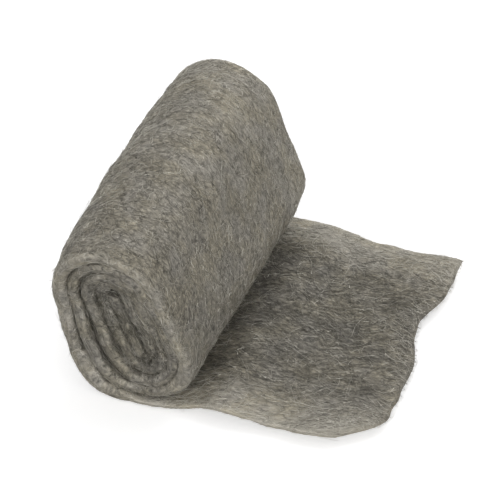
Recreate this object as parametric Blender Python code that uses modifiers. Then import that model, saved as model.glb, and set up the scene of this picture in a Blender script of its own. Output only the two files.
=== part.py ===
"""Steel wool pad: one long ribbon of fine steel wool, wound into a leaning oval roll.

The outer end of the ribbon is let out and lies on the table as a flat tail. All turns and the
tail are one solid. The roll's axis runs along Y, its near end is at the lower Y, and the tail
reaches out along +X. The pad stands on the flat foot under the roll, at Z = 0.
"""
import math

import bmesh
import bpy
from mathutils import Vector

# Ribbon
RIBBON_WIDTH = 0.100
RIBBON_THICKNESS = 0.00365
RIM_THICKNESS = 0.0030
TAIL_RIM_THICKNESS = 0.0024
RIM_REACH = 0.008
RIM_ROUNDING = 0.0010

# Winding, from the fold in the core to the outermost turn, which ends at the foot
TURNS = 4.32
TURN_GAP = 0.00055
CORE_GAP = 0.0006
CORE_NEAR_HALF_LENGTH = 0.0108
CORE_FAR_HALF_LENGTH = 0.0132
CORE_HALF_WIDTH = 0.0003
NEAR_LEAN = math.radians(26.0)
FAR_LEAN = math.radians(28.0)
FOOT_WIDTH = 0.005
END_DRAW_IN = 0.0016

# The turns step outward over the top of the roll, and hardly at all under it
STEP_FROM = math.radians(-60.0)
STEP_SPAN = math.radians(240.0)

# Stretch where the outer turns stand off the inner ones, which opens a dark gap at the ends.
# LOOSE_FROM counts turns back from the foot.
LOOSE_GAP = 0.0006
LOOSE_FROM = 1.75
LOOSE_SIDE = math.radians(165.0)
LOOSE_REACH = math.radians(125.0)

# Long edges of the ribbon. A higher RIM_FOCUS keeps the draw-in and the curl closer to them.
RIM_FOCUS = 3
INNER_INSET = 0.0035
EDGE_WAVE = 0.0006
EDGE_WAVE_LENGTH = 0.052
QUICK_WAVE_SHARE = 0.5
QUICK_WAVE_RATE = 2.3
NEAR_WAVE_PHASE = 0.4
FAR_WAVE_PHASE = 2.1

# Tail. TAIL_REACH is measured from the roll's axis.
TAIL_REACH = 0.0784
TAIL_SKEW = 0.0018
TAIL_NARROWING = 0.0105
TAIL_FLAT = 0.008
HUMP_LENGTH = 0.036
HUMP_HEIGHT = 0.0030
HUMP_UNEVENNESS = 0.35
HUMP_SWING = 1.4 * math.pi
EDGE_CURL = 0.0012
END_LIFT = 0.0022
END_LIFT_LENGTH = 0.022
NEAR_LIFT_SHARE = 0.4
CORNER_REACH = 0.018
CORNER_CUT = 0.013
NOTCH_PLACE = 0.062
NOTCH_REACH = 0.022
NOTCH_DEPTH = 0.0042

# Lumps of the felt. They raise the outermost turn and the tail, and leave the foot flat.
# Their rows sway by LUMP_SWAY over each LUMP_DRIFT.
LUMP_HEIGHT = 0.0007
LUMP_SPACING_ALONG = 0.028
LUMP_SPACING_ACROSS = 0.033
LUMP_SWAY = 0.006
LUMP_DRIFT = 0.055
LUMP_TURN_IN = math.radians(50.0)
LUMP_TURN_OUT = math.radians(50.0)
LUMP_TAIL_FADE = 0.015

# Fineness of the mesh
STATION_LENGTH = 0.010
SHOWN_STATION_LENGTH = 0.0065
STATION_ANGLE = math.radians(18.0)
TAIL_STATION = 0.0055
TAIL_THINNING_STATIONS = 4
COLUMNS = 12
COLUMN_CROWDING = 0.07
SAMPLE_ANGLE = math.radians(0.5)

STEEL_WOOL_COLOUR = (0.168, 0.156, 0.132, 1.0)
STEEL_WOOL_ROUGHNESS = 0.62
STEEL_WOOL_METALLIC = 0.55

TURN_PITCH = RIBBON_THICKNESS + TURN_GAP
FIRST_RADIUS = RIBBON_THICKNESS / 2 + CORE_GAP / 2
DOWN = 1.5 * math.pi
LAST_ANGLE = DOWN + 2 * math.pi * math.ceil(TURNS)
FIRST_ANGLE = LAST_ANGLE - 2 * math.pi * TURNS
LOOSE_ANGLE = LAST_ANGLE - 2 * math.pi * LOOSE_FROM


def smooth_step(x):
    """0 below 0, 1 above 1, and a smooth rise between."""
    x = min(max(x, 0.0), 1.0)
    return x * x * (3.0 - 2.0 * x)


def bump(x, middle, reach):
    """A smooth hump of height 1 at the middle, which ends at the reach on each side."""
    away = min(abs(x - middle) / reach, 1.0)
    return 0.5 + 0.5 * math.cos(math.pi * away)


def core_point(outward, w):
    """The point of the leaning core oval whose surface faces outward, as X and Z."""
    lean = NEAR_LEAN + (FAR_LEAN - NEAR_LEAN) * w
    half_length = CORE_NEAR_HALF_LENGTH + (CORE_FAR_HALF_LENGTH - CORE_NEAR_HALF_LENGTH) * w
    along = Vector((-math.sin(lean), math.cos(lean)))
    across = Vector((math.cos(lean), math.sin(lean)))
    long_share = half_length * outward.dot(along)
    short_share = CORE_HALF_WIDTH * outward.dot(across)
    size = math.hypot(long_share, short_share)
    return (along * half_length * long_share + across * CORE_HALF_WIDTH * short_share) / size


def turns_outward(angle):
    """How many pitches the ribbon has stepped outward at this angle of winding."""
    whole, part = divmod(angle - STEP_FROM, 2 * math.pi)
    return whole + smooth_step(part / STEP_SPAN)


def turn_radius(angle, w):
    """Distance of the ribbon's middle from the core oval, at this angle of winding."""
    stepped = max(turns_outward(angle) - math.ceil(turns_outward(FIRST_ANGLE)), 0.0)
    turned = math.remainder(angle - LOOSE_SIDE, 2 * math.pi)
    opened = smooth_step((angle - LOOSE_ANGLE) / math.pi) * bump(turned, 0.0, LOOSE_REACH)
    wound = (angle - FIRST_ANGLE) / (LAST_ANGLE - FIRST_ANGLE)
    draw_in = END_DRAW_IN * wound * abs(2 * w - 1) ** RIM_FOCUS
    return FIRST_RADIUS + TURN_PITCH * stepped + LOOSE_GAP * opened - draw_in


def roll_point(angle, w):
    """Place of the wound ribbon's middle in the section across the roll, as X and Z."""
    outward = Vector((math.cos(angle), math.sin(angle)))
    core = core_point(outward, w)
    lowest = core_point(Vector((0.0, -1.0)), w)
    wound = (angle - FIRST_ANGLE) / (LAST_ANGLE - FIRST_ANGLE)
    foot = lowest - Vector((FOOT_WIDTH * wound**2, 0.0))
    seat = foot if outward.dot(foot - core) > 0 else core
    below = RIBBON_THICKNESS / 2 + turn_radius(LAST_ANGLE, w) - lowest.y
    return seat + outward * turn_radius(angle, w) + Vector((0.0, below))


def felt_lump(length, place):
    """Height of the felt's lumps at a length along the ribbon and a place across it."""
    swayed_length = length + LUMP_SWAY * math.sin(2 * math.pi * place / LUMP_DRIFT)
    swayed_place = place + LUMP_SWAY * math.sin(2 * math.pi * length / LUMP_DRIFT)
    along = math.sin(2 * math.pi * swayed_length / LUMP_SPACING_ALONG)
    across = math.sin(2 * math.pi * swayed_place / LUMP_SPACING_ACROSS)
    return LUMP_HEIGHT * (0.5 + 0.25 * (along + across))


def roll_lump(angle):
    """Share of the lumps on the roll: all over its outermost turn, and none at the foot."""
    rise = smooth_step((angle - LAST_ANGLE + 2 * math.pi) / LUMP_TURN_IN)
    return rise * smooth_step((LAST_ANGLE - angle) / LUMP_TURN_OUT)


def roll_stations(w, count):
    """The wound stretch of one line of the ribbon: X, Z, length from the inner end, and angle.

    The stations lie closer together where the ribbon bends more, and on the outermost turn.
    """
    samples = math.ceil((LAST_ANGLE - FIRST_ANGLE) / SAMPLE_ANGLE)
    step = (LAST_ANGLE - FIRST_ANGLE) / samples
    points = [roll_point(FIRST_ANGLE + i * step, w) for i in range(samples + 1)]
    lengths = [0.0]
    measures = [0.0]
    for i, (a, b) in enumerate(zip(points, points[1:])):
        run = (b - a).length
        outermost = FIRST_ANGLE + i * step > LAST_ANGLE - 2 * math.pi
        station = SHOWN_STATION_LENGTH if outermost else STATION_LENGTH
        lengths.append(lengths[-1] + run)
        measures.append(measures[-1] + run / station + step / STATION_ANGLE)
    if count is None:
        count = math.ceil(measures[-1])
    stations = []
    i = 0
    for k in range(count + 1):
        wanted = measures[-1] * k / count
        while i < samples - 1 and measures[i + 1] < wanted:
            i += 1
        t = (wanted - measures[i]) / (measures[i + 1] - measures[i])
        x, z = points[i].lerp(points[i + 1], t)
        length = lengths[i] + t * (lengths[i + 1] - lengths[i])
        stations.append((x, z, length, FIRST_ANGLE + (i + t) * step))
    return stations


def tail_end(w):
    """X of the free end at this place across the ribbon, from the near to the far edge."""
    place = w * RIBBON_WIDTH
    cut = CORNER_CUT * max(1.0 - place / CORNER_REACH, 0.0) ** 2
    return TAIL_REACH - cut - NOTCH_DEPTH * bump(place, NOTCH_PLACE, NOTCH_REACH)


def tail_lift(run, left, w):
    """Height of the tail above the table, by its distance from the foot and from the free end."""
    hump_from = FOOT_WIDTH + TAIL_FLAT
    hump_side = 1.0 - HUMP_UNEVENNESS * (1.0 - math.cos(HUMP_SWING * w))
    hump = HUMP_HEIGHT * hump_side * bump(run, hump_from + HUMP_LENGTH / 2, HUMP_LENGTH / 2)
    free = smooth_step((run - hump_from) / HUMP_LENGTH)
    curl = EDGE_CURL * free * abs(2 * w - 1) ** RIM_FOCUS
    lift_side = NEAR_LIFT_SHARE + (1.0 - NEAR_LIFT_SHARE) * w
    return hump + curl + END_LIFT * lift_side * smooth_step(1.0 - left / END_LIFT_LENGTH)


def edge_wave(length, phase):
    """A slow, uneven wave of a long edge, as a share of its height."""
    turns = 2 * math.pi * length / EDGE_WAVE_LENGTH
    quick = QUICK_WAVE_SHARE * math.sin(QUICK_WAVE_RATE * turns + 2 * phase)
    return (math.sin(turns + phase) + quick) / (1.0 + QUICK_WAVE_SHARE)


def place_across(length, wound_length, w):
    """Y of a point of the ribbon: the edges wave, and the inner turns lie a little deeper."""
    inset = INNER_INSET * max(1.0 - length / wound_length, 0.0)
    near = inset + EDGE_WAVE * edge_wave(length, NEAR_WAVE_PHASE)
    far = RIBBON_WIDTH - inset + EDGE_WAVE * edge_wave(length, FAR_WAVE_PHASE)
    return near + (far - near) * w


def ribbon_line(w, roll_count, tail_count):
    """All stations of one line along the ribbon, from its inner to its free end."""
    wound = roll_stations(w, roll_count)
    start, _, wound_length, _ = wound[-1]
    line = []
    for x, z, s, angle in wound:
        raised = roll_lump(angle) * felt_lump(s, w * RIBBON_WIDTH)
        outward = Vector((math.cos(angle), 0.0, math.sin(angle)))
        line.append(Vector((x, place_across(s, wound_length, w), z)) + raised * outward)
    length = tail_end(w) - start
    for k in range(1, tail_count + 1):
        run = length * k / tail_count
        skew = (TAIL_SKEW + TAIL_NARROWING * (1.0 - w)) * run / TAIL_REACH
        y = place_across(wound_length + run, wound_length, w) + skew
        z = RIBBON_THICKNESS / 2 + tail_lift(run, length - run, w)
        lumpy = smooth_step((run - FOOT_WIDTH - TAIL_FLAT) / LUMP_TAIL_FADE)
        z += lumpy * felt_lump(wound_length + run, w * RIBBON_WIDTH)
        line.append(Vector((start + run, y, z)))
    return line


def column_place(j):
    """Place of a column across the ribbon, 0 to 1, closer together towards the edges."""
    even = j / COLUMNS
    return even - COLUMN_CROWDING * math.sin(2 * math.pi * even)


def make_ribbon(collection):
    """The ribbon's middle surface, bent into the roll and the tail, with its thickness added."""
    roll_count = len(roll_stations(0.5, None)) - 1
    tail_count = math.ceil(TAIL_REACH / TAIL_STATION)
    count = roll_count + tail_count
    lines = [ribbon_line(column_place(j), roll_count, tail_count) for j in range(COLUMNS + 1)]

    sheet = bmesh.new()
    bmesh.ops.create_grid(sheet, x_segments=count, y_segments=COLUMNS, size=0.5)
    thick = []
    for vertex in sheet.verts:
        i = round((vertex.co.x + 0.5) * count)
        j = round((vertex.co.y + 0.5) * COLUMNS)
        vertex.co = lines[j][i]
        place = column_place(j) * RIBBON_WIDTH
        from_side = min(place, RIBBON_WIDTH - place)
        from_end = (lines[j][i] - lines[j][count]).length if i > roll_count else RIM_REACH
        in_tail = smooth_step((i - roll_count) / TAIL_THINNING_STATIONS)
        rim = RIM_THICKNESS + (TAIL_RIM_THICKNESS - RIM_THICKNESS) * in_tail
        own = rim + (RIBBON_THICKNESS - rim) * smooth_step(min(from_side, from_end) / RIM_REACH)
        thick.append((own - TAIL_RIM_THICKNESS) / (RIBBON_THICKNESS - TAIL_RIM_THICKNESS))
    mesh = bpy.data.meshes.new("rolled_ribbon")
    sheet.to_mesh(mesh)
    sheet.free()
    mesh.shade_smooth()

    ribbon = bpy.data.objects.new("rolled_ribbon", mesh)
    collection.objects.link(ribbon)
    full = ribbon.vertex_groups.new(name="full_thickness")
    for index, weight in enumerate(thick):
        full.add([index], weight, "REPLACE")

    solidify = ribbon.modifiers.new("ribbon_thickness", "SOLIDIFY")
    solidify.thickness = RIBBON_THICKNESS
    solidify.offset = 0.0
    solidify.use_even_offset = True
    solidify.use_quality_normals = True
    solidify.vertex_group = full.name
    solidify.thickness_vertex_group = TAIL_RIM_THICKNESS / RIBBON_THICKNESS
    rounding = ribbon.modifiers.new("rounded_rims", "BEVEL")
    rounding.limit_method = "ANGLE"
    rounding.angle_limit = math.radians(55.0)
    rounding.width = RIM_ROUNDING
    rounding.segments = 2
    return ribbon


def steel_wool():
    """Fine steel wool: grey, with a slight brown cast and a soft metal sheen."""
    material = bpy.data.materials.new("steel_wool")
    material.use_nodes = True
    shader = material.node_tree.nodes["Principled BSDF"]
    shader.inputs["Base Color"].default_value = STEEL_WOOL_COLOUR
    shader.inputs["Roughness"].default_value = STEEL_WOOL_ROUGHNESS
    shader.inputs["Metallic"].default_value = STEEL_WOOL_METALLIC
    return material


def centre_over_origin(piece):
    """Moves the piece's mesh so that the origin is under the middle of its box."""
    evaluated = piece.evaluated_get(bpy.context.evaluated_depsgraph_get())
    xs = [v.co.x for v in evaluated.data.vertices]
    ys = [v.co.y for v in evaluated.data.vertices]
    middle = Vector(((min(xs) + max(xs)) / 2, (min(ys) + max(ys)) / 2, 0.0))
    for vertex in piece.data.vertices:
        vertex.co -= middle


def main():
    for old in list(bpy.data.objects):
        bpy.data.objects.remove(old, do_unlink=True)
    collection = bpy.data.collections.new("steel_wool_pad")
    bpy.context.scene.collection.children.link(collection)
    ribbon = make_ribbon(collection)
    ribbon.data.materials.append(steel_wool())
    centre_over_origin(ribbon)


main()
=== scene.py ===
"""Steel wool pad: a long ribbon of fine steel wool, wound into an oval roll with its end let out.

The mat is the ribbon itself, felted and a little lumpy. Over it lie thousands of single fibres.
They run round the roll with the ribbon, wander and cross in curls, and stand out at its edges.

Throughout, s is a length along the ribbon from its inner end, y a place across it from its near
edge, both in metres, and w that place as a share of its width.
"""

import math
from typing import NamedTuple

import bpy
import numpy as np
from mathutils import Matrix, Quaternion, Vector


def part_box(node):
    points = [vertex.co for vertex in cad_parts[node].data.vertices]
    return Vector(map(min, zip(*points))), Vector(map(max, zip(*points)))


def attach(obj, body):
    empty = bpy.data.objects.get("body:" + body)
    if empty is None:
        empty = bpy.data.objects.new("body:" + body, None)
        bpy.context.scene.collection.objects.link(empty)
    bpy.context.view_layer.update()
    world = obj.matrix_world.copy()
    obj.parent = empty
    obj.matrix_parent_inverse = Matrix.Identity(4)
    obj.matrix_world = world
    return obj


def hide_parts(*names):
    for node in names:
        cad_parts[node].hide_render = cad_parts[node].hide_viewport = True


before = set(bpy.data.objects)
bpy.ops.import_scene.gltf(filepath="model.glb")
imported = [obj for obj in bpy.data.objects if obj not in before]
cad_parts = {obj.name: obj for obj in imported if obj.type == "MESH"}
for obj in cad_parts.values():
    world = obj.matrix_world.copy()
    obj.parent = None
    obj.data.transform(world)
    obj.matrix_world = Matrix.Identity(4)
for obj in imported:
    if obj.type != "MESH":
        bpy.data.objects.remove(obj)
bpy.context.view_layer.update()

# Ribbon, as in the part's source, in metres
RIBBON_WIDTH = 0.100
RIBBON_THICKNESS = 0.00365
TAIL_RIM_THICKNESS = 0.0024
RIM_REACH = 0.008
TURNS = 4.32
TURN_GAP = 0.00055
CORE_GAP = 0.0006
CORE_NEAR_HALF_LENGTH = 0.0108
CORE_FAR_HALF_LENGTH = 0.0132
CORE_HALF_WIDTH = 0.0003
NEAR_LEAN = math.radians(26.0)
FAR_LEAN = math.radians(28.0)
FOOT_WIDTH = 0.005
END_DRAW_IN = 0.0016
STEP_FROM = math.radians(-60.0)
STEP_SPAN = math.radians(240.0)
LOOSE_GAP = 0.0006
LOOSE_FROM = 1.75
LOOSE_SIDE = math.radians(165.0)
LOOSE_REACH = math.radians(125.0)
RIM_FOCUS = 3
INNER_INSET = 0.0035
EDGE_WAVE = 0.0006
EDGE_WAVE_LENGTH = 0.052
QUICK_WAVE_SHARE = 0.5
QUICK_WAVE_RATE = 2.3
NEAR_WAVE_PHASE = 0.4
FAR_WAVE_PHASE = 2.1
TAIL_REACH = 0.0784
TAIL_SKEW = 0.0018
TAIL_NARROWING = 0.0105
TAIL_FLAT = 0.008
HUMP_LENGTH = 0.036
HUMP_HEIGHT = 0.0030
HUMP_UNEVENNESS = 0.35
HUMP_SWING = 1.4 * math.pi
EDGE_CURL = 0.0012
END_LIFT = 0.0022
END_LIFT_LENGTH = 0.022
NEAR_LIFT_SHARE = 0.4
CORNER_REACH = 0.018
CORNER_CUT = 0.013
NOTCH_PLACE = 0.062
NOTCH_REACH = 0.022
NOTCH_DEPTH = 0.0042
LUMP_HEIGHT = 0.0007
LUMP_SPACING_ALONG = 0.028
LUMP_SPACING_ACROSS = 0.033
LUMP_SWAY = 0.006
LUMP_DRIFT = 0.055
LUMP_TURN_IN = math.radians(50.0)
LUMP_TURN_OUT = math.radians(50.0)
LUMP_TAIL_FADE = 0.015

TURN_PITCH = RIBBON_THICKNESS + TURN_GAP
FIRST_RADIUS = RIBBON_THICKNESS / 2 + CORE_GAP / 2
DOWN = 1.5 * math.pi
LAST_ANGLE = DOWN + 2 * math.pi * math.ceil(TURNS)
FIRST_ANGLE = LAST_ANGLE - 2 * math.pi * TURNS
LOOSE_ANGLE = LAST_ANGLE - 2 * math.pi * LOOSE_FROM

# Mesh of the mat: fine where it shows, coarser on the turns inside the roll
SHOWN_STATION = 0.0013
SHOWN_TURNS = 1.1
HIDDEN_STATION = 0.0030
STATION_ANGLE = math.radians(11.0)
SAMPLE_ANGLE = math.radians(0.5)
RIM_COLUMNS = 5
INNER_COLUMNS = 62
RIM_RADIUS = 0.0017

# Felted surface: how far it swells past the solid, then the height and spacing of its relief
SWELL = 0.00010
TUFT = 0.00030
TUFT_LENGTH = 0.011
DIMPLE = 0.00015
DIMPLE_LENGTH = 0.0040
FURROW = 0.00016
FURROW_LENGTH = 0.0075
FURROW_WIDTH = 0.0030
HIDDEN_RELIEF = 0.35
RELIEF_FADE = 0.010
TABLE_FROM = 0.014
TABLE_FADE = 0.008
GAP_FILL = 0.9
FEATHER = 0.0005
FRAY = 0.00035
CORE_FRAY = 0.0012
CORE_SINK = 0.0008
FRAY_LENGTH = 0.0050
FRAY_DEPTH = 0.007

# Fibres. A real one is about 0.05 mm thick, and is drawn nearly twice that so that it shows.
FIBRE_RADIUS = 0.000042
THINNEST_SHARE = 0.7
THICKEST_SHARE = 1.4
TIP_SHARE = 0.35
FIBRE_STEPS = 6
SPOKES = [math.radians(angle) for angle in (90.0, 210.0, 330.0)]
FLOOR_GAP = 0.00002
LONGEST_TO_SHORTEST = 3
FLOW_SPREAD = math.radians(18.0)
RIM_SPREAD = math.radians(8.0)
FLOW_BEND = math.radians(50.0)
CROSSED_BEND = math.radians(90.0)
KINK = math.radians(11.0)
SLOW_SWIRL = (0.026, 0.014)
SLOW_SWIRL_TURN = math.radians(9.0)
QUICK_SWIRL = (0.009, 0.005)
QUICK_SWIRL_TURN = math.radians(11.0)
WEAVE = 0.0065
WEAVE_HEIGHT = 0.00013
BEDDING = 0.0001
CROSSED_RAISE = 0.00008
RESTING_LIFT = 0.00015
LOWEST_STANDING = 0.0005
HIGHEST_STANDING = 0.0020
EDGE_SCATTER = 0.0005
STANDING_PAST_EDGE = 0.0010
STREAK = (0.0024, 0.0010)
TONE_SPREAD = 0.8

# Where the coats of fibres lie. The roll's upper side is given as angles back from its foot.
FOOT_MARGIN = 0.003
FRINGE_DEPTH = 0.003
RIM_BAND = 0.0022
RIM_OVERHANG = 0.0001
CORE_SHARE = 0.75
CORE_VEIL = 0.0030
UPPER_SIDE = np.radians([200.0, 70.0])
GLINT_LENGTH = 0.0034

# Painted light and shade in the felt's and fibres' colour: painted light along the tail's sides, at
# the rims of the tail and the outermost turn, and towards the roll's far end, and painted shade in
# the tail's middle and in the roll's core
PAINTED_LIGHT_FADE = 0.026
EDGE_PAINTED_LIGHT = 0.85
TAIL_PAINTED_SHADE = 0.8
PAINTED_RIM_BAND = 0.004
RIM_PAINTED_LIGHT = 0.6
CORE_PAINTED_SHADE = 0.35
FAR_PAINTED_LIGHT = 0.6

# Patterns in the felt's material, from real sizes. Its streaks stand for bundles of fibres,
# because single ones are too fine for it to show.
BUNDLE_LENGTH = 0.0018
BUNDLE_WIDTH = 0.0008
BUNDLE_RELIEF = 0.0004
WANDER_SIZE = 0.003
WANDER_REACH = 0.003
PATCH_SIZE = 0.016
PATCH_WEIGHT = 0.15
PAINTED_LIGHT_WEIGHT = 0.10
DARKEST_TONE = 0.39
PALEST_TONE = 0.75
OIL_FILM_SIZE = 0.011
OIL_SPOT_SIZE = 0.006
OIL_DULLNESS = 0.12

# Floor, light and camera
FLOOR_REACH = 6.0
BOARD_REACH = 0.15
BACKDROP_FROM = 1.2
BOARD_GLOW = 0.42
SKY_LIGHT = 0.55
AIM = Vector((-0.005, 0.0, 0.030))
CAMERA_PLACE = Vector((0.1408, -0.4681, 0.4834))
CAMERA_ROLL = math.radians(6.0)
LENS = 153.0

# Random draws: a seed for each, and how far their noise reaches along the ribbon and past it
SEED = 11
FIBRE_SEED = 1
OUTER_FELT_SEED = 10
INNER_FELT_SEED = 20
SIDE_FRAY_SEED = 30
END_FRAY_SEED = 31
SLOW_SWIRL_SEED = 40
QUICK_SWIRL_SEED = 41
STREAK_SEED = 50
GLINT_SEED = 101
LONGEST_RIBBON = 0.65
NOISE_MARGIN = 0.02


def smooth_step(x):
    """0 below 0, 1 above 1, and a smooth rise between."""
    x = np.clip(x, 0.0, 1.0)
    return x * x * (3.0 - 2.0 * x)


def bump(x, middle, reach):
    """A smooth hump of height 1 at the middle, which ends at the reach on each side."""
    away = np.minimum(np.abs(x - middle) / reach, 1.0)
    return 0.5 + 0.5 * np.cos(np.pi * away)


class Noise:
    """Smooth noise from -1 to 1 over the ribbon, with its own wavelength along and across it."""

    def __init__(self, seed, along, across):
        self.scale = (along, across)
        counts = [math.ceil((reach + 2 * NOISE_MARGIN) / wave) + 2 for reach, wave in
                  ((LONGEST_RIBBON, along), (RIBBON_WIDTH, across))]
        self.table = np.random.default_rng([SEED, seed]).uniform(-1.0, 1.0, counts)

    def __call__(self, s, y):
        gs = (np.clip(s, -NOISE_MARGIN, LONGEST_RIBBON) + NOISE_MARGIN) / self.scale[0]
        gy = (np.clip(y, -NOISE_MARGIN, RIBBON_WIDTH + NOISE_MARGIN) + NOISE_MARGIN) / self.scale[1]
        i, j = gs.astype(int), gy.astype(int)
        fs, fy = smooth_step(gs - i), smooth_step(gy - j)
        low = self.table[i, j] * (1 - fs) + self.table[i + 1, j] * fs
        high = self.table[i, j + 1] * (1 - fs) + self.table[i + 1, j + 1] * fs
        return low * (1 - fy) + high * fy


def core_point(out_x, out_z, w):
    """The point of the leaning core oval whose surface faces outward, as X and Z."""
    lean = NEAR_LEAN + (FAR_LEAN - NEAR_LEAN) * w
    half_length = CORE_NEAR_HALF_LENGTH + (CORE_FAR_HALF_LENGTH - CORE_NEAR_HALF_LENGTH) * w
    sin, cos = math.sin(lean), math.cos(lean)
    long_share = half_length * (out_z * cos - out_x * sin)
    short_share = CORE_HALF_WIDTH * (out_x * cos + out_z * sin)
    size = np.hypot(long_share, short_share)
    x = (cos * CORE_HALF_WIDTH * short_share - sin * half_length * long_share) / size
    z = (cos * half_length * long_share + sin * CORE_HALF_WIDTH * short_share) / size
    return x, z


def turns_outward(angle):
    """How many pitches the ribbon has stepped outward at this angle of winding."""
    whole, part = np.divmod(angle - STEP_FROM, 2 * np.pi)
    return whole + smooth_step(part / STEP_SPAN)


def turn_radius(angle, w):
    """Distance of the ribbon's middle from the core oval, at this angle of winding."""
    stepped = np.maximum(turns_outward(angle) - np.ceil(turns_outward(FIRST_ANGLE)), 0.0)
    turned = np.mod(angle - LOOSE_SIDE + np.pi, 2 * np.pi) - np.pi
    opened = smooth_step((angle - LOOSE_ANGLE) / np.pi) * bump(turned, 0.0, LOOSE_REACH)
    wound = (angle - FIRST_ANGLE) / (LAST_ANGLE - FIRST_ANGLE)
    draw_in = END_DRAW_IN * wound * abs(2 * w - 1) ** RIM_FOCUS
    return FIRST_RADIUS + TURN_PITCH * stepped + LOOSE_GAP * opened - draw_in


def felt_lump(length, place):
    """Height of the felt's lumps at a length along the ribbon and a place across it."""
    swayed_length = length + LUMP_SWAY * np.sin(2 * np.pi * place / LUMP_DRIFT)
    swayed_place = place + LUMP_SWAY * np.sin(2 * np.pi * length / LUMP_DRIFT)
    along = np.sin(2 * np.pi * swayed_length / LUMP_SPACING_ALONG)
    across = np.sin(2 * np.pi * swayed_place / LUMP_SPACING_ACROSS)
    return LUMP_HEIGHT * (0.5 + 0.25 * (along + across))


def roll_lump(angle):
    """Share of the lumps on the roll: all over its outermost turn, and none at the foot."""
    rise = smooth_step((angle - LAST_ANGLE + 2 * np.pi) / LUMP_TURN_IN)
    return rise * smooth_step((LAST_ANGLE - angle) / LUMP_TURN_OUT)


def roll_points(angle, w):
    """Places of the wound ribbon's middle in the section across the roll, as X and Z."""
    out_x, out_z = np.cos(angle), np.sin(angle)
    core_x, core_z = core_point(out_x, out_z, w)
    low_x, low_z = core_point(0.0, -1.0, w)
    wound = (angle - FIRST_ANGLE) / (LAST_ANGLE - FIRST_ANGLE)
    foot_x = low_x - FOOT_WIDTH * wound**2
    on_foot = out_x * (foot_x - core_x) + out_z * (low_z - core_z) > 0
    radius = turn_radius(angle, w)
    below = RIBBON_THICKNESS / 2 + turn_radius(LAST_ANGLE, w) - low_z
    x = np.where(on_foot, foot_x, core_x) + out_x * radius
    z = np.where(on_foot, low_z, core_z) + out_z * radius + below
    return x, z


def tail_end(w):
    """X of the free end at this place across the ribbon, from the near to the far edge."""
    place = w * RIBBON_WIDTH
    cut = CORNER_CUT * max(1.0 - place / CORNER_REACH, 0.0) ** 2
    return TAIL_REACH - cut - NOTCH_DEPTH * bump(place, NOTCH_PLACE, NOTCH_REACH)


def tail_lift(run, left, w):
    """Height of the tail above the table, by its distance from the foot and from the free end."""
    hump_from = FOOT_WIDTH + TAIL_FLAT
    hump_side = 1.0 - HUMP_UNEVENNESS * (1.0 - math.cos(HUMP_SWING * w))
    hump = HUMP_HEIGHT * hump_side * bump(run, hump_from + HUMP_LENGTH / 2, HUMP_LENGTH / 2)
    curl = EDGE_CURL * smooth_step((run - hump_from) / HUMP_LENGTH) * abs(2 * w - 1) ** RIM_FOCUS
    lift_side = NEAR_LIFT_SHARE + (1.0 - NEAR_LIFT_SHARE) * w
    return hump + curl + END_LIFT * lift_side * smooth_step(1.0 - left / END_LIFT_LENGTH)


def edge_wave(length, phase):
    """A slow, uneven wave of a long edge, as a share of its height."""
    turns = 2 * np.pi * length / EDGE_WAVE_LENGTH
    quick = QUICK_WAVE_SHARE * np.sin(QUICK_WAVE_RATE * turns + 2 * phase)
    return (np.sin(turns + phase) + quick) / (1.0 + QUICK_WAVE_SHARE)


def place_across(length, wound_length, w):
    """Y of a point of the ribbon: the edges wave, and the inner turns lie a little deeper."""
    inset = INNER_INSET * np.maximum(1.0 - length / wound_length, 0.0)
    near = inset + EDGE_WAVE * edge_wave(length, NEAR_WAVE_PHASE)
    far = RIBBON_WIDTH - inset + EDGE_WAVE * edge_wave(length, FAR_WAVE_PHASE)
    return near + (far - near) * w


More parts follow.
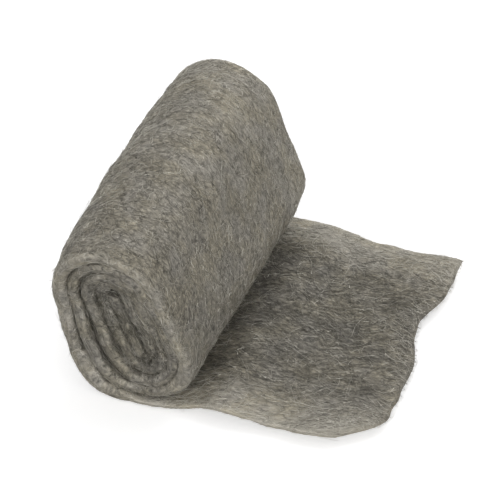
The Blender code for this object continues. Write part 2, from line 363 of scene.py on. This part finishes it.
class Ribbon:
    """The ribbon as a grid of stations along it and columns across it.

    points is its middle surface, and reach how far the felt stands off it on each side: 1 is
    the side that faces out of the roll and down under the tail, and -1 the other one. The tail
    starts at wound_length, and the outermost turn at outer_from.
    """

    def __init__(self):
        self.samples = np.linspace(
            FIRST_ANGLE, LAST_ANGLE, math.ceil((LAST_ANGLE - FIRST_ANGLE) / SAMPLE_ANGLE)
        )
        self.shares = column_shares()
        self.places = self.shares * RIBBON_WIDTH
        middle = roll_points(self.samples, 0.5)
        self.roll_count = math.ceil(self.measure(*middle)[0][-1])
        lines = [self.line(w) for w in self.shares]
        self.points = np.array([line[0] for line in lines]).transpose(1, 0, 2)
        self.stations = lines[len(lines) // 2][1]
        self.angles = lines[len(lines) // 2][2]
        self.length = self.stations[-1]
        self.wound_length = self.stations[self.roll_count]
        self.outer_from = np.interp(LAST_ANGLE - 2 * np.pi, self.angles, self.stations)
        self.settle()
        self.felt()

    def measure(self, x, z):
        """Running count of stations along the roll, denser where it shows and where it bends."""
        runs = np.hypot(np.diff(x), np.diff(z))
        shown = self.samples[1:] > LAST_ANGLE - SHOWN_TURNS * 2 * np.pi
        station = np.where(shown, SHOWN_STATION, HIDDEN_STATION)
        counts = runs / station + np.diff(self.samples) / STATION_ANGLE
        return np.concatenate([[0.0], np.cumsum(counts)]), np.concatenate([[0.0], np.cumsum(runs)])

    def line(self, w):
        """One line along the ribbon: its points, lengths from the inner end, and angles."""
        x, z = roll_points(self.samples, w)
        measure, length = self.measure(x, z)
        wanted = np.linspace(0.0, measure[-1], self.roll_count + 1)
        x, z, s, angle = (np.interp(wanted, measure, v) for v in (x, z, length, self.samples))
        raised = roll_lump(angle) * felt_lump(s, w * RIBBON_WIDTH)
        reach = tail_end(w) - x[-1]
        tail_count = math.ceil(TAIL_REACH / SHOWN_STATION)
        run = reach * np.arange(1, tail_count + 1) / tail_count
        s = np.concatenate([s, s[-1] + run])
        y = place_across(s, s[self.roll_count], w)
        y[self.roll_count + 1 :] += (TAIL_SKEW + TAIL_NARROWING * (1.0 - w)) * run / TAIL_REACH
        lumpy = smooth_step((run - FOOT_WIDTH - TAIL_FLAT) / LUMP_TAIL_FADE)
        lift = tail_lift(run, reach - run, w)
        lift += lumpy * felt_lump(s[self.roll_count + 1 :], w * RIBBON_WIDTH)
        x = np.concatenate([x + raised * np.cos(angle), x[-1] + run])
        z = np.concatenate([z + raised * np.sin(angle), RIBBON_THICKNESS / 2 + lift])
        angle = np.concatenate([angle, LAST_ANGLE + run / TAIL_REACH])
        return np.column_stack([x, y, z]), s, angle

    def settle(self):
        """Moves the ribbon to its place in the frame, and works out its directions."""
        along = np.gradient(self.points, axis=0)
        across = np.gradient(self.points, axis=1)
        normals = np.cross(across, along)
        self.normals = normals / np.linalg.norm(normals, axis=2, keepdims=True)
        self.tangents = along / np.linalg.norm(along, axis=2, keepdims=True)
        low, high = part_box("rolled_ribbon")
        outside = self.points + self.normals * RIBBON_THICKNESS / 2
        own_low = np.array([outside[..., 0].min(), self.points[..., 1].min()])
        own_high = np.array([self.points[..., 0].max(), self.points[..., 1].max()])
        middle = np.array([(low[k] + high[k]) / 2 for k in range(2)])
        self.points[..., :2] += middle - (own_low + own_high) / 2

    def gap_inward(self):
        """Free height between each station's inner side and the turn that it lies on."""
        before = np.maximum(self.angles - 2 * np.pi, FIRST_ANGLE)
        x, z = roll_points(np.maximum(self.angles, FIRST_ANGLE), 0.5)
        below_x, below_z = roll_points(before, 0.5)
        outward = (x - below_x) * np.cos(self.angles) + (z - below_z) * np.sin(self.angles)
        core_gap = CORE_GAP / 2 + CORE_HALF_WIDTH
        in_core = core_gap * np.cos(self.angles - NEAR_LEAN) ** 2
        gap = np.where(before > FIRST_ANGLE, np.maximum(outward - RIBBON_THICKNESS, 0.0), in_core)
        return np.where(self.angles <= LAST_ANGLE, gap, 0.0)

    def felt(self):
        """Gives the ribbon its felted body: swollen into the gaps, lumpy, and frayed at its edges."""
        s = np.broadcast_to(self.stations[:, None], self.points.shape[:2])
        y = np.broadcast_to(self.places[None, :], self.points.shape[:2])
        from_side = np.minimum(y, RIBBON_WIDTH - y)
        from_edge = np.minimum(from_side, self.length - s)
        inward = np.minimum(np.minimum(from_edge, s) / RIM_RADIUS, 1.0)
        rim = np.sqrt(1.0 - (1.0 - inward) ** 2)
        in_tail = smooth_step((s - self.wound_length) / TAIL_FLAT)
        thinned = in_tail * (1.0 - smooth_step(from_edge / RIM_REACH))
        half = (RIBBON_THICKNESS - (RIBBON_THICKNESS - TAIL_RIM_THICKNESS) * thinned) / 2

        turned = np.mod(self.angles - LOOSE_SIDE + np.pi, 2 * np.pi) - np.pi
        loose_turn = (self.angles > LOOSE_ANGLE) & (self.angles < LOOSE_ANGLE + 2 * np.pi)
        open_line = np.where(loose_turn, bump(turned, 0.0, LOOSE_REACH), 0.0)
        raised = roll_lump(self.angles)[:, None] * felt_lump(s, y)
        fill = (self.gap_inward()[:, None] + raised) * (GAP_FILL * (1.0 - open_line))[:, None]

        on_table = smooth_step((s - self.wound_length + TABLE_FROM) / TABLE_FADE)
        outer_relief = felt_relief(OUTER_FELT_SEED, s, y, self.outer_from)
        inner_relief = felt_relief(INNER_FELT_SEED, s, y, self.wound_length)
        outer = (SWELL + outer_relief) * (1.0 - on_table)
        inner = SWELL + fill + inner_relief - FEATHER * thinned
        self.reach = {1: rim * (half + outer), -1: rim * (half + inner)}

        deep = 1.0 - smooth_step(self.stations / self.outer_from)
        size = (FRAY + (CORE_FRAY - FRAY) * deep)[:, None]
        sink = CORE_SINK * deep[:, None]
        fray = Noise(SIDE_FRAY_SEED, FRAY_LENGTH, RIBBON_WIDTH)
        near = bump(y, 0.0, FRAY_DEPTH) * (size * fray(s, 0.0 * y) + sink)
        far = bump(y, RIBBON_WIDTH, FRAY_DEPTH) * (size * fray(s, 0.0 * y + RIBBON_WIDTH) - sink)
        self.points[..., 1] += near + far
        end = FRAY * Noise(END_FRAY_SEED, FRAY_LENGTH, FRAY_LENGTH)(0.0 * s, y)
        self.points[..., 0] += bump(self.length - s, 0.0, FRAY_DEPTH) * end

    def paleness(self, s, y):
        """Painted light and shade at those lengths and places: how much paler than the rest the felt
        is painted there.
        """
        from_side = np.minimum(y, RIBBON_WIDTH - y)
        from_edge = np.minimum(from_side, self.length - s)
        edge = 1.0 - smooth_step(from_side / PAINTED_LIGHT_FADE)
        in_tail = smooth_step((s - self.wound_length) / TAIL_FLAT)
        in_core = 1.0 - smooth_step(s / self.outer_from)
        # Painted light along the tail's thin sides, and painted shade in the tail's middle
        tail = (EDGE_PAINTED_LIGHT + TAIL_PAINTED_SHADE) * edge - TAIL_PAINTED_SHADE
        # Painted light rising towards the roll's far end, and painted shade in the recessed core
        roll = FAR_PAINTED_LIGHT * (y / RIBBON_WIDTH - 0.5) - CORE_PAINTED_SHADE * in_core
        # Painted light on the rims of the tail and of the outermost turn, which lie in shade
        outermost = smooth_step((s - self.outer_from) / PAINTED_LIGHT_FADE)
        rim = RIM_PAINTED_LIGHT * (outermost + in_tail) * (1.0 - smooth_step(from_edge / PAINTED_RIM_BAND))
        return roll + (tail - roll) * in_tail + rim

    def at(self, s, y, side):
        """Point, normal, tangent and reach on one side, at lengths s and places y across."""
        i = np.interp(s, self.stations, np.arange(len(self.stations)))
        j = np.interp(y, self.places, np.arange(len(self.places)))
        i0 = np.minimum(i.astype(int), len(self.stations) - 2)
        j0 = np.minimum(j.astype(int), len(self.places) - 2)
        fi = (i - i0)[..., None]
        fj = (j - j0)[..., None]

        def sample(grid):
            low = grid[i0, j0] * (1 - fi) + grid[i0 + 1, j0] * fi
            high = grid[i0, j0 + 1] * (1 - fi) + grid[i0 + 1, j0 + 1] * fi
            return low * (1 - fj) + high * fj

        normal = sample(self.normals)
        normal /= np.linalg.norm(normal, axis=-1, keepdims=True)
        return sample(self.points), normal, sample(self.tangents), sample(self.reach[side][..., None])


def column_shares():
    """Places of the columns across the ribbon, 0 to 1, closer together round its rims."""
    rim = RIM_RADIUS * (1.0 - np.cos(np.linspace(0.0, np.pi / 2, RIM_COLUMNS + 1)))
    inner = np.linspace(RIM_RADIUS, RIBBON_WIDTH - RIM_RADIUS, INNER_COLUMNS + 1)[1:-1]
    return np.concatenate([rim, inner, RIBBON_WIDTH - rim[::-1]]) / RIBBON_WIDTH


def mesh_of(name, points, quads, triangles=None):
    """A smooth-shaded mesh from arrays of points and faces."""
    triangles = np.zeros((0, 3), int) if triangles is None else triangles
    mesh = bpy.data.meshes.new(name)
    mesh.vertices.add(len(points))
    mesh.vertices.foreach_set("co", np.ascontiguousarray(points, dtype=np.float32).ravel())
    corners = np.concatenate([quads.ravel(), triangles.ravel()])
    sizes = np.concatenate([np.full(len(quads), 4), np.full(len(triangles), 3)])
    mesh.loops.add(len(corners))
    mesh.loops.foreach_set("vertex_index", corners)
    mesh.polygons.add(len(sizes))
    mesh.polygons.foreach_set("loop_start", np.concatenate([[0], np.cumsum(sizes)[:-1]]))
    mesh.polygons.foreach_set("loop_total", sizes)
    mesh.update(calc_edges=True)
    mesh.validate()
    mesh.shade_smooth()
    return mesh


def add_piece(name, mesh, material):
    """Links the mesh as a piece of the object."""
    mesh.materials.append(material)
    piece = bpy.data.objects.new(name, mesh)
    bpy.context.scene.collection.objects.link(piece)
    return piece


def felt_relief(seed, s, y, shown_from):
    """Tufts, dimples and furrows of the felt, flatter where it is wound in."""
    tufts = TUFT * Noise(seed, TUFT_LENGTH, TUFT_LENGTH)(s, y)
    dimples = DIMPLE * Noise(seed + 1, DIMPLE_LENGTH, DIMPLE_LENGTH)(s, y)
    furrows = FURROW * Noise(seed + 2, FURROW_LENGTH, FURROW_WIDTH)(s, y)
    shown = smooth_step((s - shown_from) / RELIEF_FADE)
    return (tufts + dimples + furrows) * (HIDDEN_RELIEF + (1.0 - HIDDEN_RELIEF) * shown)


def make_mat(ribbon, material):
    """The ribbon's felted body as one closed mesh, with the painted light and shade and the place of
    its points.

    A place in the strip is s, y and the depth below the outer side, so that the two sides
    don't show the same pattern.
    """
    points = ribbon.points
    above = points + ribbon.normals * ribbon.reach[1][..., None]
    below = points - ribbon.normals * ribbon.reach[-1][..., None]
    rows, columns = points.shape[:2]
    top = np.arange(rows * columns).reshape(rows, columns)
    bottom = top.copy()
    bottom[1:-1, 1:-1] = rows * columns + np.arange((rows - 2) * (columns - 2)).reshape(rows - 2, -1)
    border = np.ones((rows, columns), bool)
    border[1:-1, 1:-1] = False
    above[border] = points[border]
    verts = np.concatenate([above.reshape(-1, 3), below[1:-1, 1:-1].reshape(-1, 3)])
    verts[:, 2] = np.maximum(verts[:, 2], 0.0)

    def faces(index):
        return np.stack(
            [index[:-1, :-1], index[:-1, 1:], index[1:, 1:], index[1:, :-1]], axis=-1
        ).reshape(-1, 4)

    quads = np.concatenate([faces(top), faces(bottom)[:, ::-1]])
    mesh = mesh_of("felted_ribbon", verts, quads)
    s, y = np.meshgrid(ribbon.stations, ribbon.places, indexing="ij")
    strip = np.stack([s, y, np.zeros_like(s)], axis=-1)
    under = strip[1:-1, 1:-1] + np.array([0.0, 0.0, RIBBON_THICKNESS])
    strip = np.concatenate([strip.reshape(-1, 3), under.reshape(-1, 3)])
    attribute = mesh.attributes.new("strip", "FLOAT_VECTOR", "POINT")
    attribute.data.foreach_set("vector", np.ascontiguousarray(strip, dtype=np.float32).ravel())
    # Painted light and shade of each point, for the felt's colour
    paleness = mesh.attributes.new("paleness", "FLOAT", "POINT")
    values = ribbon.paleness(strip[:, 0], strip[:, 1])
    paleness.data.foreach_set("value", np.ascontiguousarray(values, dtype=np.float32))
    return add_piece("felted_ribbon", mesh, material)


def heading_field():
    """The fibres' shared drift from the ribbon's direction, in radians, as swirls of two sizes."""
    slow = Noise(SLOW_SWIRL_SEED, *SLOW_SWIRL)
    quick = Noise(QUICK_SWIRL_SEED, *QUICK_SWIRL)
    return lambda s, y: SLOW_SWIRL_TURN * slow(s, y) + QUICK_SWIRL_TURN * quick(s, y)


def turned_back(place, low, high):
    """Places folded back where they pass their limits, as a fibre turns back at an edge."""
    span = high - low
    return low + np.abs(np.mod(place - low - span, 2.0 * span) - span)


class Coat(NamedTuple):
    """A stretch of the ribbon to strew with fibres, on one side, and how they lie on it."""

    count: int
    s_range: tuple
    y_range: tuple
    side: int  # 1 faces out of the roll and down under the tail, -1 the other way
    longest: float = 0.015
    spread: float = FLOW_SPREAD  # how far they head off the shared drift
    crossed: float = 0.4  # share that lies across the rest
    curl: float = 1.0  # how much they bend and kink
    stray: float = 0.03  # share that stands out
    veil: float = 0.0  # how far they hang over onto the neighbouring turns


def lay_fibres(rng, ribbon, coat, start_s, start_y, heading, bend, length, height, lift, limits):
    """Points and normals of fibres that start at those places and follow the ribbon's surface.

    heading is each fibre's angle from the ribbon's direction, and bend how far it turns over
    its length. height is its place above the felt, and lift how far its last part stands out.
    limits are the places across the ribbon, and past its end, where it turns back.
    """
    count = len(start_s)
    step = (length / FIBRE_STEPS)[:, None]
    share = np.linspace(0.0, 1.0, FIBRE_STEPS + 1)[None, :]
    kinks = rng.normal(0.0, KINK * coat.curl, (count, FIBRE_STEPS + 1))
    angle = heading[:, None] + bend[:, None] * (share - 0.5) + kinks.cumsum(axis=1)
    s = start_s[:, None] + np.cumsum(step * np.cos(angle), axis=1)
    y = start_y[:, None] + np.cumsum(step * np.sin(angle), axis=1)
    low, high, past = (limit[:, None] for limit in limits)
    s = turned_back(s, -past, ribbon.length + past)
    y = turned_back(y, low, high)
    point, normal, tangent, reach = ribbon.at(s, y, coat.side)
    past_end = (np.maximum(s - ribbon.length, 0.0) + np.minimum(s, 0.0))[..., None]
    past_side = (np.maximum(y - RIBBON_WIDTH, 0.0) + np.minimum(y, 0.0))[..., None]
    point = point + tangent * past_end + np.array([0.0, 1.0, 0.0]) * past_side
    phase = rng.uniform(0.0, 2 * np.pi, count)[:, None] + 2 * np.pi * share * length[:, None] / WEAVE
    rise = height[:, None] + WEAVE_HEIGHT * np.sin(phase) + lift[:, None] * share**3
    return point + coat.side * (reach + rise[..., None]) * normal, normal


def fibre_mesh(name, point, normal, radius):
    """Three-sided closed strands along the fibres' points, tapered at both ends."""
    count, rings = point.shape[:2]
    tangent = np.gradient(point, axis=1)
    tangent /= np.linalg.norm(tangent, axis=2, keepdims=True)
    side = np.cross(tangent, normal)
    side /= np.linalg.norm(side, axis=2, keepdims=True)
    up = np.cross(side, tangent)
    taper = np.ones(rings)
    taper[0] = taper[-1] = TIP_SHARE
    reach = (radius[:, None] * taper[None, :])[..., None]
    ring = [point + reach * (math.cos(a) * side + math.sin(a) * up) for a in SPOKES]
    verts = np.stack(ring, axis=2)
    verts[..., 2] = np.maximum(verts[..., 2], FLOOR_GAP)
    corners = len(SPOKES)
    index = np.arange(count * rings * corners).reshape(count, rings, corners)
    quads = []
    for k in range(corners):
        m = (k + 1) % corners
        quads.append(
            np.stack(
                [index[:, :-1, k], index[:, 1:, k], index[:, 1:, m], index[:, :-1, m]], axis=-1
            ).reshape(-1, 4)
        )
    caps = np.concatenate([index[:, 0, :], index[:, -1, ::-1]])
    return mesh_of(name, verts.reshape(-1, 3), np.concatenate(quads), caps)


def strew(seed, ribbon, flow, coat):
    """The fibres of one coat, as points, normals and tones."""
    rng = np.random.default_rng([SEED, seed])
    s = rng.uniform(*coat.s_range, coat.count)
    y = rng.uniform(*coat.y_range, coat.count)
    length = rng.uniform(coat.longest / LONGEST_TO_SHORTEST, coat.longest, coat.count)
    crossing = rng.random(coat.count) < coat.crossed
    heading = flow(s, y) + rng.normal(0.0, coat.spread, coat.count)
    heading = np.where(crossing, rng.uniform(0.0, 2 * np.pi, coat.count), heading)
    heading = heading + np.where(rng.random(coat.count) < 0.5, math.pi, 0.0)
    turn = np.where(crossing, CROSSED_BEND, FLOW_BEND) * coat.curl
    bend = rng.normal(0.0, 1.0, coat.count) * turn
    height = rng.uniform(-BEDDING, BEDDING, coat.count) + np.where(crossing, CROSSED_RAISE, 0.0)
    height = height + coat.veil * rng.random(coat.count)
    standing = rng.random(coat.count) < coat.stray
    resting_lift = rng.uniform(0.0, RESTING_LIFT, coat.count)
    standing_lift = rng.uniform(LOWEST_STANDING, HIGHEST_STANDING, coat.count)
    lift = np.where(standing, standing_lift, resting_lift)
    past = rng.uniform(-EDGE_SCATTER, EDGE_SCATTER, coat.count)
    past = past + np.where(standing, STANDING_PAST_EDGE, 0.0)
    limits = (coat.y_range[0] - past, coat.y_range[1] + past, past)
    point, normal = lay_fibres(rng, ribbon, coat, s, y, heading, bend, length, height, lift, limits)
    streaks = Noise(STREAK_SEED, *STREAK)(s, y)
    # A fibre's tone is its streak and its own random tone, plus the painted light and shade of the
    # ribbon where it lies
    tone = streaks + rng.normal(0.0, TONE_SPREAD, coat.count) + ribbon.paleness(s, y)
    return point, normal, tone


def fibre_pieces(coats, first_seed, ribbon, materials):
    """The fibres of those coats, sorted by tone into one piece for each material."""
    flow = heading_field()
    strewn = [strew(first_seed + i, ribbon, flow, coat) for i, coat in enumerate(coats)]
    point, normal, tone = (np.concatenate([fibres[k] for fibres in strewn]) for k in range(3))
    rng = np.random.default_rng([SEED, first_seed])
    radius = FIBRE_RADIUS * rng.uniform(THINNEST_SHARE, THICKEST_SHARE, len(point))
    pieces = []
    for share, material in zip(np.array_split(np.argsort(tone), len(materials)), materials):
        name = material.name.replace("shaved_steel", "fibres")
        mesh = fibre_mesh(name, point[share], normal[share], radius[share])
        pieces.append(add_piece(name, mesh, material))
    return pieces


def make_fibres(ribbon, shades, painted_glint):
    """All fibres: long ones over the whole pad, and short near-white ones that are painted glints,
    most on the roll's upper side.

    Those on a rim run along it, and in the core some hang over onto the turns beside them.
    """
    wound = ribbon.wound_length
    all_s = (0.0, ribbon.length)
    outer_s = (ribbon.outer_from, wound)
    tail_s = (wound + FOOT_MARGIN, ribbon.length)
    end_s = (ribbon.length - FRINGE_DEPTH, ribbon.length)
    core_s = (0.0, ribbon.outer_from * CORE_SHARE)
    upper_s = tuple(np.interp(LAST_ANGLE - UPPER_SIDE, ribbon.angles, ribbon.stations))
    across = (0.0, RIBBON_WIDTH)
    near_rim = (-RIM_OVERHANG, RIM_BAND)
    far_rim = (RIBBON_WIDTH - RIM_BAND, RIBBON_WIDTH + RIM_OVERHANG)
    coats = [
        Coat(9200, outer_s, across, 1, longest=0.011, crossed=0.7, curl=1.8, stray=0.05),
        Coat(4300, tail_s, across, -1),
        Coat(300, tail_s, across, 1, stray=0.0),
        Coat(500, end_s, across, -1, longest=0.008, crossed=0.2, stray=0.6),
    ]
    for rim, count, veil_count in ((near_rim, 1500, 600), (far_rim, 900, 200)):
        for side in (1, -1):
            along = {"spread": RIM_SPREAD, "longest": 0.009, "crossed": 0.15, "stray": 0.08}
            over = {"spread": RIM_SPREAD, "crossed": 0.1, "veil": CORE_VEIL}
            coats.append(Coat(count, all_s, rim, side, **along))
            coats.append(Coat(veil_count, core_s, rim, side, **over))
    # Short fibres in near-white steel: painted glints, most on the roll's upper side, where the light
    # falls
    painted_glints = [
        Coat(count, s_range, across, side, longest=GLINT_LENGTH, crossed=1.0, stray=0.0)
        for count, s_range, side in ((900, upper_s, 1), (500, outer_s, 1), (200, tail_s, -1))
    ]
    pieces = fibre_pieces(coats, FIBRE_SEED, ribbon, shades)
    return pieces + fibre_pieces(painted_glints, GLINT_SEED, ribbon, [painted_glint])


def linear(hex_colour):
    """The linear colour of an sRGB hex value such as #8a877c."""
    parts = [int(hex_colour[i : i + 2], 16) / 255 for i in (1, 3, 5)]
    return [p / 12.92 if p <= 0.04045 else ((p + 0.055) / 1.055) ** 2.4 for p in parts] + [1.0]


def add_node(tree, kind, settings=None, values=None, links=None):
    """Adds a node, with its settings, the values of its sockets, and what feeds them."""
    node = tree.nodes.new(kind)
    for key, value in (settings or {}).items():
        setattr(node, key, value)
    for key, value in (values or {}).items():
        node.inputs[key].default_value = value
    for key, source in (links or {}).items():
        tree.links.new(source, node.inputs[key])
    return node


def new_material(name):
    """An empty node material and its Principled shader."""
    material = bpy.data.materials.new(name)
    material.use_nodes = True
    return material, material.node_tree, material.node_tree.nodes["Principled BSDF"]


def felted_steel():
    """Fine steel wool, shaved from mild steel wire and felted into a ribbon by rolling.

    To the eye it is a soft grey with a brown cast, streaked along the ribbon, dark with painted shade
    in the hollows between bundles of fibres, yellower where the film of oil is thick, with a dull
    sheen.
    """
    material, tree, shader = new_material("felted_steel")
    strip = add_node(tree, "ShaderNodeAttribute", {"attribute_name": "strip"})
    place = strip.outputs["Vector"]
    swirl = add_node(
        tree,
        "ShaderNodeTexNoise",
        values={"Scale": 1 / WANDER_SIZE, "Detail": 2.0},
        links={"Vector": place},
    )
    drift = add_node(
        tree,
        "ShaderNodeVectorMath",
        {"operation": "MULTIPLY_ADD"},
        {1: (WANDER_REACH, WANDER_REACH, 0.0)},
        {0: swirl.outputs["Color"], 2: place},
    )
    bundles = add_node(
        tree,
        "ShaderNodeMapping",
        values={"Scale": (1 / BUNDLE_LENGTH, 1 / BUNDLE_WIDTH, 1 / BUNDLE_WIDTH)},
        links={"Vector": drift.outputs["Vector"]},
    )
    streaks = add_node(
        tree,
        "ShaderNodeTexNoise",
        values={"Scale": 1.0, "Detail": 4.0, "Roughness": 0.7},
        links={"Vector": bundles.outputs["Vector"]},
    )
    patches = add_node(
        tree,
        "ShaderNodeTexNoise",
        values={"Scale": 1 / PATCH_SIZE, "Detail": 2.0},
        links={"Vector": place},
    )
    tone = add_node(
        tree,
        "ShaderNodeMath",
        {"operation": "MULTIPLY_ADD"},
        {1: PATCH_WEIGHT},
        {0: patches.outputs["Fac"], 2: streaks.outputs["Fac"]},
    )
    # Painted light and shade of the ribbon's points, added to the felt's tone
    paleness = add_node(tree, "ShaderNodeAttribute", {"attribute_name": "paleness"})
    shade = add_node(
        tree,
        "ShaderNodeMath",
        {"operation": "MULTIPLY_ADD"},
        {1: PAINTED_LIGHT_WEIGHT},
        {0: paleness.outputs["Fac"], 2: tone.outputs["Value"]},
    )
    # The felt's tone, darkest where the streaks' relief is lowest, which is painted shade in the
    # hollows between bundles, plus painted light and shade of the ribbon's points
    colour = add_node(tree, "ShaderNodeValToRGB", links={"Fac": shade.outputs["Value"]})
    ramp = colour.color_ramp
    ramp.elements[0].position = DARKEST_TONE
    ramp.elements[0].color = linear("#4c4a45")
    ramp.elements[1].position = PALEST_TONE
    ramp.elements[1].color = linear("#a8a399")
    oil = add_node(
        tree,
        "ShaderNodeTexNoise",
        values={"Scale": 1 / OIL_FILM_SIZE, "Detail": 3.0},
        links={"Vector": place},
    )
    film = add_node(
        tree,
        "ShaderNodeMapRange",
        values={"From Min": 0.40, "From Max": 0.60},
        links={"Value": oil.outputs["Fac"]},
    )
    # A Mix node's colours go in by its sockets 6 and 7, and come out by its output 2
    tinted = add_node(
        tree,
        "ShaderNodeMix",
        {"data_type": "RGBA", "blend_type": "MULTIPLY"},
        {7: linear("#fffcf1")},
        {0: film.outputs["Result"], 6: colour.outputs["Color"]},
    )
    tree.links.new(tinted.outputs[2], shader.inputs["Base Color"])
    relief = add_node(
        tree,
        "ShaderNodeBump",
        values={"Strength": 0.8, "Distance": BUNDLE_RELIEF},
        links={"Height": streaks.outputs["Fac"]},
    )
    tree.links.new(relief.outputs["Normal"], shader.inputs["Normal"])
    shader.inputs["Metallic"].default_value = 0.6
    shader.inputs["Roughness"].default_value = 0.6
    return material


def shaved_steel(shade, hex_colour, roughness):
    """A single fibre of shaved mild steel: a bright thread where fresh, dull where oiled."""
    material, tree, shader = new_material("shaved_steel_" + shade)
    place = add_node(tree, "ShaderNodeTexCoord").outputs["Object"]
    oil = add_node(
        tree,
        "ShaderNodeTexNoise",
        values={"Scale": 1 / OIL_SPOT_SIZE, "Detail": 2.0},
        links={"Vector": place},
    )
    dullness = add_node(
        tree,
        "ShaderNodeMapRange",
        values={"To Min": roughness - OIL_DULLNESS, "To Max": roughness + OIL_DULLNESS},
        links={"Value": oil.outputs["Fac"]},
    )
    tree.links.new(dullness.outputs["Result"], shader.inputs["Roughness"])
    shader.inputs["Base Color"].default_value = linear(hex_colour)
    shader.inputs["Metallic"].default_value = 0.75
    return material


def table_top():
    """Plain pale floor: board painted dead matt white. It keeps the pad's soft shadow.

    Further out, where the lamps don't reach, it turns into the white of the backdrop.
    """
    material, tree, shader = new_material("matt_white_board")
    shader.inputs["Base Color"].default_value = linear("#f4f4f4")
    shader.inputs["Roughness"].default_value = 0.9
    shader.inputs["Specular IOR Level"].default_value = 0.1
    shader.inputs["Emission Color"].default_value = (1.0, 1.0, 1.0, 1.0)
    place = add_node(tree, "ShaderNodeTexCoord").outputs["Object"]
    away = add_node(tree, "ShaderNodeVectorMath", {"operation": "LENGTH"}, links={0: place})
    white = add_node(
        tree,
        "ShaderNodeMapRange",
        values={"From Min": BOARD_REACH, "From Max": BACKDROP_FROM, "To Min": BOARD_GLOW},
        links={"Value": away.outputs["Value"]},
    )
    seen = add_node(tree, "ShaderNodeLightPath").outputs["Is Camera Ray"]
    glow = add_node(
        tree,
        "ShaderNodeMath",
        {"operation": "MULTIPLY"},
        links={0: seen, 1: white.outputs["Result"]},
    )
    tree.links.new(glow.outputs["Value"], shader.inputs["Emission Strength"])
    return material


def make_floor():
    """A wide pale floor at the height the pad rests on."""
    signs = np.array([[-1, -1, 0], [1, -1, 0], [1, 1, 0], [-1, 1, 0]])
    corners = FLOOR_REACH * signs
    floor = add_piece("floor", mesh_of("floor", corners, np.array([[0, 1, 2, 3]])), table_top())


def make_world():
    """White for what the camera and the steel see, and softer as a light."""
    world = bpy.data.worlds.new("studio")
    bpy.context.scene.world = world
    world.use_nodes = True
    tree = world.node_tree
    tree.nodes.clear()
    path = add_node(tree, "ShaderNodeLightPath")
    seen = path.outputs["Is Camera Ray"]
    for ray in ("Is Glossy Ray", "Is Transmission Ray"):
        seen = add_node(
            tree, "ShaderNodeMath", {"operation": "MAXIMUM"}, links={0: seen, 1: path.outputs[ray]}
        ).outputs["Value"]
    strength = add_node(
        tree, "ShaderNodeMapRange", values={"To Min": SKY_LIGHT}, links={"Value": seen}
    )
    sky = add_node(
        tree,
        "ShaderNodeBackground",
        values={"Color": (1.0, 1.0, 1.0, 1.0)},
        links={"Strength": strength.outputs["Result"]},
    )
    add_node(tree, "ShaderNodeOutputWorld", links={"Surface": sky.outputs["Background"]})


def add_lamp(name, place, width, power):
    """A soft square white lamp, aimed at the pad."""
    light = bpy.data.lights.new(name, "AREA")
    light.size = width
    light.energy = power
    lamp = bpy.data.objects.new(name, light)
    lamp.location = place
    lamp.rotation_mode = "QUATERNION"
    lamp.rotation_quaternion = (AIM - Vector(place)).to_track_quat("-Z", "Y")
    bpy.context.scene.collection.objects.link(lamp)


def add_camera():
    """The photograph's point of view, with a longer lens so that the pad fills the picture."""
    data = bpy.data.cameras.new("camera")
    data.lens = LENS
    camera = bpy.data.objects.new("camera", data)
    camera.location = CAMERA_PLACE
    look = (AIM - CAMERA_PLACE).to_track_quat("-Z", "Y")
    camera.rotation_mode = "QUATERNION"
    camera.rotation_quaternion = look @ Quaternion((0.0, 0.0, 1.0), CAMERA_ROLL)
    bpy.context.scene.collection.objects.link(camera)
    bpy.context.scene.camera = camera


ribbon = Ribbon()
mat = make_mat(ribbon, felted_steel())
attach(mat, "root")
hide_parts("rolled_ribbon")

# Four tones of the fibres' steel, from dark to bright. Fibres are sorted into them by a tone that is
# partly random and partly painted light and shade.
shades = [
    shaved_steel("dark", "#605d55", 0.55),
    shaved_steel("grey", "#8f8b81", 0.48),
    shaved_steel("pale", "#aeaa9f", 0.42),
    shaved_steel("bright", "#cdc9be", 0.36),
]
# The near-white fibres' colour is a painted glint
for piece in make_fibres(ribbon, shades, shaved_steel("painted_glint", "#f2eee2", 0.30)):
    piece.parent = mat
    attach(piece, "root")

make_floor()
make_world()
add_lamp("key", (0.10, 0.85, 1.35), 1.2, 8.1)
add_lamp("fill", (0.25, -1.4, 0.65), 1.2, 11.7)
add_camera()

scene = bpy.context.scene
scene.view_settings.view_transform = "Standard"
